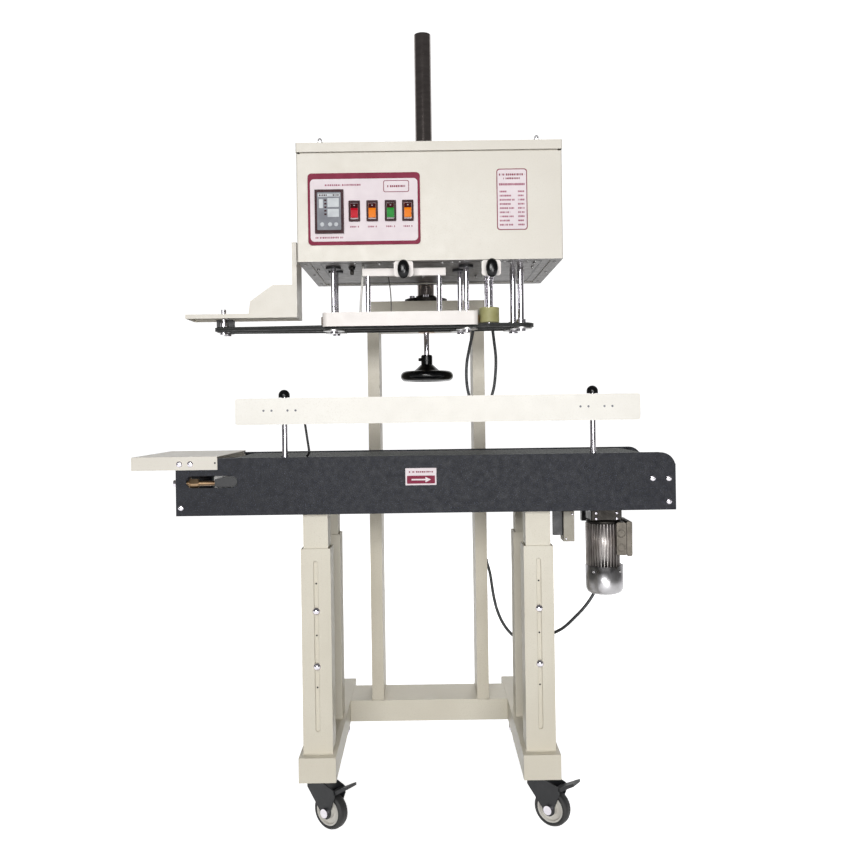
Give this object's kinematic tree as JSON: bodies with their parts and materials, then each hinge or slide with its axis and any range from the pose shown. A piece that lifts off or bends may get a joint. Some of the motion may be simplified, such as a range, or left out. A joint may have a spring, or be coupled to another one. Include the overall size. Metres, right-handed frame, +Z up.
{
  "type": "continuous band sealer",
  "caption": "Continuous band sealer on a wheeled stand: height-adjustable belt conveyor, sealing head on a mast, guide rail, handwheel lift and control panel.",
  "frame": {"origin": "on the floor, under the middle of the bounding box, front casters toward -Y", "axes": "+X along the conveyor from infeed to outfeed, +Y from front to back, +Z up"},
  "size_m": [1.09, 0.5448, 1.767],
  "materials": {
    "cream_paint": "satin",
    "grey_paint": "satin",
    "black_paint": "fine wrinkle",
    "chrome": "polished",
    "steel": "machined",
    "aluminium": "cast, satin",
    "tyre": "matt",
    "black_plastic": "gloss",
    "belt": "woven, matt",
    "drive_belt": "ribbed",
    "olive_rubber": "matt",
    "bronze": "turned",
    "band": "coated glass cloth",
    "panel": "printed foil",
    "red_lens": "gloss",
    "orange_lens": "gloss",
    "green_lens": "gloss",
    "cable": "matt"
  },
  "bodies": {
    "base": {"side_rails": "grey_paint", "leg_sleeves": "grey_paint", "caster_mounts": "black_paint", "column_frame": "grey_paint", "mast": "chrome", "motor_cable": "cable", "head_cable": "cable"},
    "handwheel": {"handwheel": "black_plastic", "lead_screw": "steel"},
    "fork_fl": {"caster_fork_fl": "black_paint"},
    "fork_fr": {"caster_fork_fr": "black_paint"},
    "wheel_fl": {"caster_wheel_fl": "tyre"},
    "wheel_fr": {"caster_wheel_fr": "tyre"},
    "wheel_rl": {"caster_wheel_rl": "tyre"},
    "wheel_rr": {"caster_wheel_rr": "tyre"},
    "pedal_fl": {"brake_pedal_fl": "black_plastic"},
    "pedal_fr": {"brake_pedal_fr": "black_plastic"},
    "conveyor": {"side_panels": "black_paint", "conveyor_frame": "steel", "inner_legs": "grey_paint", "infeed_plate": "cream_paint", "conveyor_belt": "belt", "gearmotor": "aluminium", "chain_drive": "black_paint", "junction_box": "cream_paint", "guide_posts": "chrome"},
    "drive_roller": {"drive_roller": "steel"},
    "idler_roller": {"idler_roller": "steel"},
    "motor_sprocket": {"motor_sprocket": "steel"},
    "guide_rail": {"guide_rail": "cream_paint"},
    "knob_left": {"guide_knob_left": "black_plastic"},
    "knob_right": {"guide_knob_right": "black_plastic"},
    "head": {"head_shell": "cream_paint", "head_lid": "cream_paint", "base_plate": "grey_paint", "slide_collar": "steel", "control_panel": "panel", "infeed_tray": "cream_paint", "guide_belts": "drive_belt", "sealing_bands": "band", "rear_blocks": "bronze", "head_motor": "aluminium"},
    "rocker_power": {"rocker_power": "red_lens"},
    "rocker_motor": {"rocker_motor": "orange_lens"},
    "rocker_heater": {"rocker_heater": "green_lens"},
    "rocker_fan": {"rocker_fan": "orange_lens"},
    "drive_front": {"drive_wheel_front": "steel"},
    "drive_rear": {"drive_wheel_rear": "steel"},
    "idler_front": {"idler_wheel_front": "steel"},
    "idler_rear": {"idler_wheel_rear": "steel"},
    "outfeed_front": {"outfeed_pulley_front": "steel"},
    "outfeed_rear": {"outfeed_pulley_rear": "steel"},
    "infeed_front": {"infeed_pulley_front": "black_plastic"},
    "infeed_rear": {"infeed_pulley_rear": "black_plastic"},
    "carriage": {"front_carriage": "cream_paint"},
    "carriage_knob": {"carriage_knob": "black_plastic"},
    "roller_arm": {"roller_arm": "steel"},
    "pressure_roller": {"pressure_roller": "olive_rubber"},
    "roller_knob": {"roller_knob": "black_plastic"},
    "backing_roller": {"backing_roller": "steel"}
  },
  "joints": [
    {"name": "head_lift", "type": "slide", "parent": "base", "child": "head", "axis": [0, 0, 1], "range_m": [-0.02, 0.22], "deforming": ["head_cable"]},
    {"name": "handwheel_turn", "type": "hinge", "parent": "base", "child": "handwheel", "pos_m": [0.051, 0.15245, 0.93], "axis": [0, 0, 1], "range_deg": [-723.6, 7923.6]},
    {"name": "conveyor_lift", "type": "slide", "parent": "base", "child": "conveyor", "axis": [0, 0, 1], "range_m": [-0.035, 0.09], "deforming": ["motor_cable"]},
    {"name": "swivel_fl", "type": "hinge", "parent": "base", "child": "fork_fl", "pos_m": [-0.18, -0.21255, 0.092], "axis": [0, 0, 1], "continuous": true},
    {"name": "wheel_spin_fl", "type": "hinge", "parent": "fork_fl", "child": "wheel_fl", "pos_m": [-0.15706, -0.22861, 0.0375], "axis": [0.5736, 0.8192, 0], "continuous": true},
    {"name": "brake_fl", "type": "hinge", "parent": "fork_fl", "child": "pedal_fl", "pos_m": [-0.14314, -0.23836, 0.078], "axis": [0.5736, 0.8192, 0], "range_deg": [0, 15]},
    {"name": "swivel_fr", "type": "hinge", "parent": "base", "child": "fork_fr", "pos_m": [0.27, -0.21255, 0.092], "axis": [0, 0, 1], "continuous": true},
    {"name": "wheel_spin_fr", "type": "hinge", "parent": "fork_fr", "child": "wheel_fr", "pos_m": [0.29294, -0.22861, 0.0375], "axis": [0.5736, 0.8192, 0], "continuous": true},
    {"name": "brake_fr", "type": "hinge", "parent": "fork_fr", "child": "pedal_fr", "pos_m": [0.30686, -0.23836, 0.078], "axis": [0.5736, 0.8192, 0], "range_deg": [0, 15]},
    {"name": "wheel_spin_rl", "type": "hinge", "parent": "base", "child": "wheel_rl", "pos_m": [-0.18, 0.23245, 0.0375], "axis": [1, 0, 0], "continuous": true},
    {"name": "wheel_spin_rr", "type": "hinge", "parent": "base", "child": "wheel_rr", "pos_m": [0.27, 0.23245, 0.0375], "axis": [1, 0, 0], "continuous": true},
    {"name": "drive_roller_spin", "type": "hinge", "parent": "conveyor", "child": "drive_roller", "pos_m": [0.485, -0.11455, 0.709], "axis": [0, 1, 0], "continuous": true},
    {"name": "idler_roller_spin", "type": "hinge", "parent": "conveyor", "child": "idler_roller", "pos_m": [-0.341, -0.11455, 0.709], "axis": [0, 1, 0], "continuous": true},
    {"name": "motor_sprocket_spin", "type": "hinge", "parent": "conveyor", "child": "motor_sprocket", "pos_m": [0.429, -0.05755, 0.618], "axis": [0, 1, 0], "continuous": true},
    {"name": "guide_rail_height", "type": "slide", "parent": "conveyor", "child": "guide_rail", "axis": [0, 0, 1], "range_m": [-0.05, 0]},
    {"name": "guide_knob_left_turn", "type": "hinge", "parent": "conveyor", "child": "knob_left", "pos_m": [-0.238, -0.24755, 0.88], "axis": [0, 0, 1], "continuous": true},
    {"name": "guide_knob_right_turn", "type": "hinge", "parent": "conveyor", "child": "knob_right", "pos_m": [0.382, -0.24755, 0.88], "axis": [0, 0, 1], "continuous": true},
    {"name": "rocker_power_press", "type": "hinge", "parent": "head", "child": "rocker_power", "pos_m": [-0.092, -0.23855, 1.2505], "axis": [1, 0, 0], "range_deg": [0, 16]},
    {"name": "rocker_motor_press", "type": "hinge", "parent": "head", "child": "rocker_motor", "pos_m": [-0.056, -0.23855, 1.2505], "axis": [1, 0, 0], "range_deg": [0, 16]},
    {"name": "rocker_heater_press", "type": "hinge", "parent": "head", "child": "rocker_heater", "pos_m": [-0.019, -0.23855, 1.2505], "axis": [1, 0, 0], "range_deg": [0, 16]},
    {"name": "rocker_fan_press", "type": "hinge", "parent": "head", "child": "rocker_fan", "pos_m": [0.016, -0.23855, 1.2505], "axis": [1, 0, 0], "range_deg": [0, 16]},
    {"name": "front_drive_spin", "type": "hinge", "parent": "head", "child": "drive_front", "pos_m": [0.136, -0.15255, 1.04], "axis": [0, 0, 1], "continuous": true},
    {"name": "rear_drive_spin", "type": "hinge", "parent": "head", "child": "drive_rear", "pos_m": [0.125, -0.09855, 1.04], "axis": [0, 0, 1], "continuous": true},
    {"name": "front_idler_spin", "type": "hinge", "parent": "head", "child": "idler_front", "pos_m": [-0.145, -0.15255, 1.04], "axis": [0, 0, 1], "continuous": true},
    {"name": "rear_idler_spin", "type": "hinge", "parent": "head", "child": "idler_rear", "pos_m": [-0.145, -0.09855, 1.04], "axis": [0, 0, 1], "continuous": true},
    {"name": "front_outfeed_spin", "type": "hinge", "parent": "head", "child": "outfeed_front", "pos_m": [0.251, -0.15255, 1.023], "axis": [0, 0, 1], "continuous": true},
    {"name": "rear_outfeed_spin", "type": "hinge", "parent": "head", "child": "outfeed_rear", "pos_m": [0.24, -0.09855, 1.023], "axis": [0, 0, 1], "continuous": true},
    {"name": "front_infeed_spin", "type": "hinge", "parent": "head", "child": "infeed_front", "pos_m": [-0.38, -0.14435, 1.023], "axis": [0, 0, 1], "continuous": true},
    {"name": "rear_infeed_spin", "type": "hinge", "parent": "head", "child": "infeed_rear", "pos_m": [-0.38, -0.10675, 1.023], "axis": [0, 0, 1], "continuous": true},
    {"name": "carriage_pull", "type": "slide", "parent": "head", "child": "carriage", "axis": [0, -1, 0], "range_m": [0, 0.012], "stiffness_N_per_m": 3000},
    {"name": "carriage_knob_turn", "type": "hinge", "parent": "carriage", "child": "carriage_knob", "pos_m": [0.0055, -0.22755, 1.131], "axis": [0, 1, 0], "continuous": true},
    {"name": "roller_arm_pull", "type": "slide", "parent": "head", "child": "roller_arm", "axis": [0, -1, 0], "range_m": [0, 0.008], "stiffness_N_per_m": 3000},
    {"name": "pressure_roller_spin", "type": "hinge", "parent": "roller_arm", "child": "pressure_roller", "pos_m": [0.1843, -0.14695, 1.046], "axis": [0, 0, 1], "continuous": true},
    {"name": "roller_knob_turn", "type": "hinge", "parent": "roller_arm", "child": "roller_knob", "pos_m": [0.1834, -0.22755, 1.131], "axis": [0, 1, 0], "continuous": true},
    {"name": "backing_roller_spin", "type": "hinge", "parent": "head", "child": "backing_roller", "pos_m": [0.1843, -0.10415, 1.046], "axis": [0, 0, 1], "continuous": true}
  ],
  "couplings": [
    {"joint": "handwheel_turn", "follows": "head_lift", "rad_per_m": 628.32},
    {"joint": "idler_roller_spin", "follows": "drive_roller_spin", "ratio": 1},
    {"joint": "motor_sprocket_spin", "follows": "drive_roller_spin", "ratio": 1.375},
    {"joint": "rear_drive_spin", "follows": "front_drive_spin", "ratio": -1},
    {"joint": "front_idler_spin", "follows": "front_drive_spin", "ratio": 1},
    {"joint": "rear_idler_spin", "follows": "front_drive_spin", "ratio": -1},
    {"joint": "front_outfeed_spin", "follows": "front_drive_spin", "ratio": 1},
    {"joint": "rear_outfeed_spin", "follows": "front_drive_spin", "ratio": -1},
    {"joint": "front_infeed_spin", "follows": "front_drive_spin", "ratio": 1.5571},
    {"joint": "rear_infeed_spin", "follows": "front_drive_spin", "ratio": -1.5571},
    {"joint": "pressure_roller_spin", "follows": "front_drive_spin", "ratio": 1.2749},
    {"joint": "backing_roller_spin", "follows": "front_drive_spin", "ratio": -1.2749}
  ]
}
